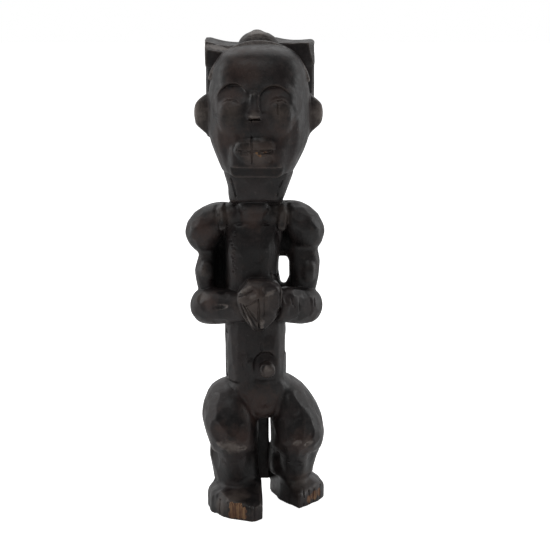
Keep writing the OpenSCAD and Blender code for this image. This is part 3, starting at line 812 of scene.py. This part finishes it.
SMALLEST_PART = 100  # a piece's loose bits with fewer faces than this are left out


def without_loose_bits(points, faces):
    """The mesh without its small loose bits and without the skins of hollows shut inside it."""
    label = np.arange(len(points))
    while True:
        lowest = label.copy()
        np.minimum.at(lowest, faces.ravel(), np.repeat(label[faces].min(axis=1), 4))
        lowest = lowest[lowest]
        if np.array_equal(lowest, label):
            break
        label = lowest
    part = label[faces[:, 0]]
    a, b, c, d = (points[faces[:, k]].astype(float) for k in range(4))
    volume = np.einsum("ij,ij->i", a, np.cross(b, c) + np.cross(c, d))
    kept = (np.bincount(part)[part] >= SMALLEST_PART) & (np.bincount(part, volume)[part] > 0)
    used, renumbered = np.unique(faces[kept], return_inverse=True)
    return points[used], renumbered.reshape(-1, 4)


def make_pieces(whole, material):
    """Cuts the figure into one mesh for each CAD node, with what the material needs to know."""
    nearest, second, owner = territories(whole)
    sharp = softened(whole.field, EDGE_BLUR) - whole.field
    hollow = hollowness(whole)
    hollow_low = (whole.low + (COARSE - 1) / 2) / COARSE
    pieces = []
    for index, name in enumerate(sorted(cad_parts)):
        low, high = corner_cells([name])
        part = whole.cells(low, high)
        own = node_distance(name, low, high)
        other = np.where(owner[part] == index, second[part], nearest[part])
        border = np.minimum((own - other) / 2, BAND)
        field = np.maximum(whole.field[part] + LAP_SLOPE * np.maximum(border, 0), border - LAP)
        points, faces = without_loose_bits(*lattice_grid(field, low).convertToQuads(0))
        mesh = bpy.data.meshes.new(f"carved_{name}")
        mesh.from_pydata(points * MM, [], faces)
        mesh.shade_smooth()
        looks = {
            "edge": sampled(sharp, whole.low, points),
            "hollow": sampled(hollow, hollow_low, points, VOXEL * COARSE),
            **{label: nearness(points, spots) for label, spots in SPOTS.items()},
        }
        for label, values in looks.items():
            mesh.attributes.new(label, "FLOAT", "POINT").data.foreach_set("value", values)
        piece = placed(mesh.name, mesh)
        mesh.materials.append(material)
        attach(piece, "root")
        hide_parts(name)
        pieces.append(piece)
    return pieces


# ---------- where the wood is worn or bare, and where highlights and shade are painted ---

STREAK_SPOTS = 9
STREAK_TIP = 0.55  # the size of a streak's first and last spot, as a share of the middle one's


def streak(start, end, radius):
    """A row of spots from start to end, larger in its middle."""
    spots = []
    for share in np.linspace(0, 1, STREAK_SPOTS):
        size = STREAK_TIP + (1 - STREAK_TIP) * math.sin(math.pi * share)
        spots.append((*np.add(start, np.subtract(end, start) * share), radius * size))
    return spots


# Spots (x, y, z, radius), under the name of the look they get
SPOTS = {
    # Where the dark skin has gone
    "bare": [
        (-21.4, -42, 11.5, 6.5), (-21.4, -42, 4.5, 6.5), (-16.4, -44.2, 12, 6), (-16, -44.6, 5, 6.5),
        (-12.4, -46, 9, 5), (-12, -46, 4, 4.5),
        (43.6, -3.6, 5.5, 5.5), (48, 2, 7, 6.5), (52.6, 8.6, 7.5, 6),
        (1, -46, 305.5, 5.5), (6, -46, 306, 5.5),
    ],
    # Paler than the rest: partly rubbed wear, partly painted reflection of the bright room, as on the ears
    "wear_and_sheen": [
        (-21, -36, 338, 13), (17, -38, 338, 13), (0, -43, 306, 18), (-4, -40, 182, 22),
        (8, -34, 124.6, 8), (0, 16, 400, 22), (-31, -33, 8, 12),
        (-22, -34, 60, 10), (42, -26, 60, 7), (-46, -14, 204, 8), (-46, -14, 183, 9), (-29, -12, 252, 12),
        (21, -12, 252, 12), (-18, -36, 22, 17), (38, 0, 20, 15), (-56, 2, 334, 28), (57, 2, 334, 28),
        (-3, -42, 335, 7),
    ],
    # Painted highlights: bright spots and streaks where light catches facets, edges, the rim and the lips,
    # and painted reflection of the bright room on the ears
    "painted_highlight": [
        *streak((-32, -30.5, 61.6), (-11, -31.5, 58), 7.2),
        *streak((-39, -25.6, 175.6), (-25, -29.2, 178.8), 3.6),
        *streak((-13, -37.5, 192), (-5, -40, 198), 3.4), *streak((-7, -42, 188), (-1, -42.5, 191), 3.4),
        *streak((7, -41.5, 190), (14, -39, 194), 3.6), *streak((-10, -40, 173), (-5, -39.5, 164), 2.8),
        *streak((3.4, -40.4, 171), (3.2, -39.6, 162), 3), *streak((1, -45.2, 306), (10, -45, 306.4), 3.8),
        *streak((-7, -41.6, 335.2), (1, -41.6, 335.2), 2.8),
        *streak((30, -27.6, 61.6), (36, -27, 61.8), 3.4), *streak((39, -24.6, 59.6), (46, -22.6, 60.6), 3.6),
        (44.5, -24, 68, 2.4), (7.4, -36, 127, 5),
        *streak((-46, 12, 391), (-24, 11, 385.6), 8), (0, 14, 399, 12), (14, -22, 95, 3),
        (-52, 0, 334, 14), (53, 0, 334, 14), *[(x, y - 1.4, z, 3.4) for x, y, z in RIM_STOPS],
    ],
    # Thin skin, where the wood shows red
    "ruddy": [
        (2, -42, 303, 22), (-31, -33, 73, 12), (-40, -20, 181, 12), (-4, -16, 250, 16), (0, -20, 92, 26),
        (-2, -40, 190, 14), (36, -26, 60, 18), (-14, -30, 68, 18), (-10, -25, 372, 26), (4, -23, 183, 14),
        (-24, -30, 320, 20), (20, -34, 325, 18), (-44, -14, 240, 18), (-14, -45, 2, 14), (-21, -31, 350, 14),
        (14, -33, 350, 14),
    ],
    # Painted shade: near black in the deep gaps by the arms, where little light reaches
    "painted_shade": [(-31, 6, 207, 24), (-29, -2, 225, 12), (21, 0, 227, 12), (21, 3, 186, 7)],
}


def nearness(points, spots):
    """1 at the middle of the nearest spot, falling to 0 at its edge."""
    near = np.zeros(len(points), np.float32)
    for x, y, z, radius in spots:
        away = np.linalg.norm(points - np.array([x, y, z]), axis=1)
        near = np.maximum(near, 1 - away / radius)
    return near


# ---------- wood ----------

SKIN_DARK = (0.0085, 0.0072, 0.0074)
SKIN_BROWN = (0.022, 0.0155, 0.015)
SKIN_RED = (0.048, 0.025, 0.019)
# Paler skin, partly rubbed wear and partly painted highlight and reflection, on edges and in spots
SKIN_WEAR_AND_SHEEN = (0.115, 0.09, 0.076)
# Painted highlight colour for the bright spots and streaks
HIGHLIGHT_PAINT = (0.21, 0.18, 0.162)
SKIN_HOLLOW = (0.013, 0.0085, 0.007)
# Painted shade colour: near black, for the deep gaps by the arms
SHADE_PAINT = (0.0015, 0.0015, 0.0012)
RAW_PALE = (0.30, 0.17, 0.085)
RAW_RED = (0.11, 0.05, 0.03)
WOOD_IOR = 1.45
# Each pattern's mark size in millimetres, detail, roughness, and how much longer marks are upwards
PATCHES = (26, 3, 0.55, 1)
MOTTLE = (7, 4, 0.6, 1)
GRAIN = (1.1, 4, 0.6, 22)
PORES = (0.45, 2, 0.5, 9)
DENTS = (3.2, 3, 0.5, 1)


class Graph:
    """Shader nodes of a material or the world. Values are numbers, colours or nodes' outputs."""

    def __init__(self, tree):
        self.tree = tree

    def put(self, socket, value):
        if isinstance(value, bpy.types.NodeSocket):
            self.tree.links.new(value, socket)
        elif isinstance(value, tuple) and len(value) == 3 and socket.type == "RGBA":
            socket.default_value = (*value, 1)
        else:
            socket.default_value = value

    def node(self, kind, settings=(), **inputs):
        made = self.tree.nodes.new(kind)
        for key, value in dict(settings).items():
            setattr(made, key, value)
        for key, value in inputs.items():
            self.put(made.inputs[key.replace("_", " ")], value)
        return made

    def math(self, operation, a, b):
        made = self.node("ShaderNodeMath", {"operation": operation})
        self.put(made.inputs[0], a)
        self.put(made.inputs[1], b)
        return made.outputs[0]

    def swing(self, noise, amount):
        """Noise from 0 to 1 as a swing round zero, this wide in all."""
        return self.math("MULTIPLY", self.math("SUBTRACT", noise, 0.5), amount)

    def scaled(self, value, low, high, to_low=0.0, to_high=1.0):
        """The value's run from low to high, eased, as a run from to_low to to_high."""
        made = self.node("ShaderNodeMapRange", {"interpolation_type": "SMOOTHSTEP"})
        for socket, given in zip(made.inputs, (value, low, high, to_low, to_high)):
            self.put(socket, given)
        return made.outputs[0]

    def blend(self, share, a, b):
        """Colour a, turning to colour b as the share goes from 0 to 1."""
        made = self.node("ShaderNodeMix", {"data_type": "RGBA"})
        for index, value in ((0, share), (6, a), (7, b)):
            self.put(made.inputs[index], value)
        return made.outputs[2]

    def noise(self, place, pattern):
        size, detail, roughness, stretch = pattern
        across = 1 / (size * MM)
        along = 1 / (size * stretch * MM)
        fitted = self.node("ShaderNodeMapping", Vector=place, Scale=(across, across, along))
        made = self.node("ShaderNodeTexNoise", Vector=fitted.outputs[0], Scale=1.0, Detail=detail,
                         Roughness=roughness)
        return made.outputs[0]

    def attribute(self, name):
        return self.node("ShaderNodeAttribute", {"attribute_name": name}).outputs["Fac"]

    def bump(self, height, depth, strength, under=None):
        """Bumps of this depth in millimetres, on top of other bumps."""
        made = self.node("ShaderNodeBump", Height=height, Distance=depth * MM, Strength=strength)
        if under is not None:
            self.put(made.inputs["Normal"], under)
        return made.outputs[0]


def patina_wood():
    """Hardwood with a dark, handled skin: brown in hollows, paler on edges from wear and painted highlight,
    bare at breaks, with painted highlights in spots and painted shade in the gaps by the arms.
    """
    material = bpy.data.materials.new("patina_wood")
    material.use_nodes = True
    shader = material.node_tree.nodes["Principled BSDF"]
    g = Graph(material.node_tree)
    place = g.node("ShaderNodeTexCoord").outputs["Object"]
    patches, mottle, grain = g.noise(place, PATCHES), g.noise(place, MOTTLE), g.noise(place, GRAIN)
    pores, dents = g.noise(place, PORES), g.noise(place, DENTS)
    edge = g.attribute("edge")
    hollow = g.attribute("hollow")

    brown = g.scaled(g.math("ADD", patches, g.math("MULTIPLY", mottle, 0.4)), 0.55, 0.85)
    colour = g.blend(brown, SKIN_DARK, SKIN_BROWN)
    uneven = g.swing(mottle, 1.2)  # frays the spots' rims
    red = g.scaled(g.math("ADD", g.attribute("ruddy"), uneven), 0.05, 0.9, 0.0, 0.8)
    colour = g.blend(red, colour, SKIN_RED)
    colour = g.blend(g.scaled(grain, 0.52, 0.72, 0.0, 0.5), colour, SKIN_BROWN)
    # Sharp edges paler: partly rubbed wear, partly painted highlight lines
    edge_wear_and_glint = g.math("ADD", g.math("MULTIPLY", edge, 2.6), g.math("SUBTRACT", mottle, 0.5))
    colour = g.blend(g.scaled(edge_wear_and_glint, 0.2, 1.6, 0.0, 0.6), colour, SKIN_WEAR_AND_SHEEN)
    # Paler spots: partly rubbed wear, partly painted reflection, as on the ears
    wear_and_sheen = g.math("ADD", g.attribute("wear_and_sheen"), uneven)
    colour = g.blend(g.scaled(wear_and_sheen, 0.0, 1.0, 0.0, 0.6), colour, SKIN_WEAR_AND_SHEEN)
    # Painted highlights and painted reflections, as bright pale spots
    painted_highlight = g.math("ADD", g.attribute("painted_highlight"), g.swing(dents, 1.2))
    colour = g.blend(g.scaled(painted_highlight, 0.1, 0.95, 0.0, 0.75), colour, HIGHLIGHT_PAINT)
    colour = g.blend(g.scaled(hollow, 0.60, 0.76, 0.0, 0.6), colour, SKIN_HOLLOW)
    # Painted shade: the deep gaps by the arms turned near black
    painted_shade = g.scaled(g.attribute("painted_shade"), 0.05, 0.5, 0.0, 0.95)
    colour = g.blend(painted_shade, colour, SHADE_PAINT)
    bare = g.math("ADD", g.attribute("bare"), g.swing(dents, 0.7))
    bare = g.scaled(bare, 0.34, 0.42)
    raw = g.blend(g.scaled(grain, 0.42, 0.60), RAW_RED, RAW_PALE)
    colour = g.blend(bare, colour, raw)
    g.put(shader.inputs["Base Color"], colour)

    rough = g.scaled(mottle, 0.3, 0.7, 0.34, 0.52)
    rough = g.math("ADD", rough, g.scaled(hollow, 0.55, 0.75, 0.0, 0.22))
    for dull in (bare, painted_shade):
        rough = g.math("ADD", rough, g.math("MULTIPLY", dull, 0.3))
    g.put(shader.inputs["Roughness"], rough)
    shader.inputs["IOR"].default_value = WOOD_IOR

    soft_bumps = g.bump(dents, 0.35, 0.5)
    grain_lines = g.bump(grain, 0.16, 0.45, soft_bumps)
    g.put(shader.inputs["Normal"], g.bump(pores, 0.08, 0.35, grain_lines))
    return material


# ---------- stage, light and camera ----------

FLOOR_HALF = 6.0
FLOOR_GLOW = 0.95  # makes the floor as white as the background, for the camera only


def stage():
    """A white floor that runs out of the picture."""
    mesh = bpy.data.meshes.new("floor")
    corners = [(x * FLOOR_HALF, y * FLOOR_HALF, 0) for x, y in ((-1, -1), (1, -1), (1, 1), (-1, 1))]
    mesh.from_pydata(corners, [], [(0, 1, 2, 3)])
    floor = placed("floor", mesh)
    material = bpy.data.materials.new("pale_floor")
    material.use_nodes = True
    g = Graph(material.node_tree)
    inputs = material.node_tree.nodes["Principled BSDF"].inputs
    g.put(inputs["Base Color"], (0.9, 0.9, 0.9))
    g.put(inputs["Roughness"], 0.9)
    g.put(inputs["Emission Color"], (1.0, 1.0, 1.0))
    seen = g.node("ShaderNodeLightPath").outputs["Is Camera Ray"]
    g.put(inputs["Emission Strength"], g.math("MULTIPLY", seen, FLOOR_GLOW))
    mesh.materials.append(material)


# Each panel's name, place, target, size and power
SOFTBOXES = [
    ("overhead", (0, 0.8, 1.6), (0, 0, 0.25), (1.6, 1.0), 5),
    ("front", (-0.35, -1.0, 1.7), (0, 0, 0.15), (1.3, 0.9), 5),
    ("side_right", (-1.5, 0.3, 0.6), (0, 0, 0.2), (0.6, 1.6), 7),
    ("side_left", (1.5, 0.3, 0.6), (0, 0, 0.2), (0.6, 1.6), 7),
]


def softbox(name, place, target, size, power):
    """A lit panel, width and height in metres and power in watts, that faces its target."""
    light = bpy.data.lights.new(name, "AREA")
    light.shape = "RECTANGLE"
    light.size, light.size_y = size
    light.energy = power
    lamp = placed(name, light)
    lamp.location = place
    lamp.rotation_euler = (Vector(target) - Vector(place)).to_track_quat("-Z", "Y").to_euler()


def light_studio():
    """White all round for the camera. The figure itself sees a bright backdrop and a dim room."""
    world = bpy.data.worlds.new("studio")
    bpy.context.scene.world = world
    world.use_nodes = True
    g = Graph(world.node_tree)
    toward = g.node("ShaderNodeTexCoord").outputs["Generated"]
    split = g.node("ShaderNodeSeparateXYZ", Vector=toward).outputs
    backdrop = g.scaled(split["Y"], -0.4, 0.9, 0.09, 0.66)
    ceiling = g.scaled(split["Z"], 0.1, 1.0, 0.0, 0.10)
    lit = world.node_tree.nodes["Background"]
    lit.inputs["Color"].default_value = (1, 1, 1, 1)
    g.put(lit.inputs["Strength"], g.math("ADD", backdrop, ceiling))
    seen = g.node("ShaderNodeBackground", Color=(1.0, 1.0, 1.0), Strength=1.0)
    pick = g.node("ShaderNodeMixShader")
    camera_ray = g.node("ShaderNodeLightPath").outputs["Is Camera Ray"]
    for socket, value in zip(pick.inputs, (camera_ray, lit.outputs[0], seen.outputs[0])):
        g.put(socket, value)
    g.put(world.node_tree.nodes["World Output"].inputs["Surface"], pick.outputs[0])
    for lamp in SOFTBOXES:
        softbox(*lamp)


CAMERA_PLACE = (-0.0019, -1.4704, 0.4862)
CAMERA_TILT = 79  # degrees up from straight down
LENS = 117.75  # millimetres
SENSOR_WIDTH = 36
LENS_SHIFT = (0.0355, -0.0031)
VISIBLE_FROM, VISIBLE_TO = 0.05, 30  # metres from the camera


def place_camera():
    """A long lens a little above the head, as in the photograph."""
    data = bpy.data.cameras.new("camera")
    data.lens = LENS
    data.sensor_width = SENSOR_WIDTH
    data.shift_x, data.shift_y = LENS_SHIFT
    data.clip_start, data.clip_end = VISIBLE_FROM, VISIBLE_TO
    camera = placed("camera", data)
    camera.location = CAMERA_PLACE
    camera.rotation_euler = (math.radians(CAMERA_TILT), 0, 0)
    bpy.context.scene.camera = camera


def main():
    whole = assemble()
    knife_marks(whole)
    for piece in make_pieces(whole, patina_wood()):
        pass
    stage()
    light_studio()
    place_camera()
    bpy.context.scene.view_settings.view_transform = "Standard"


main()
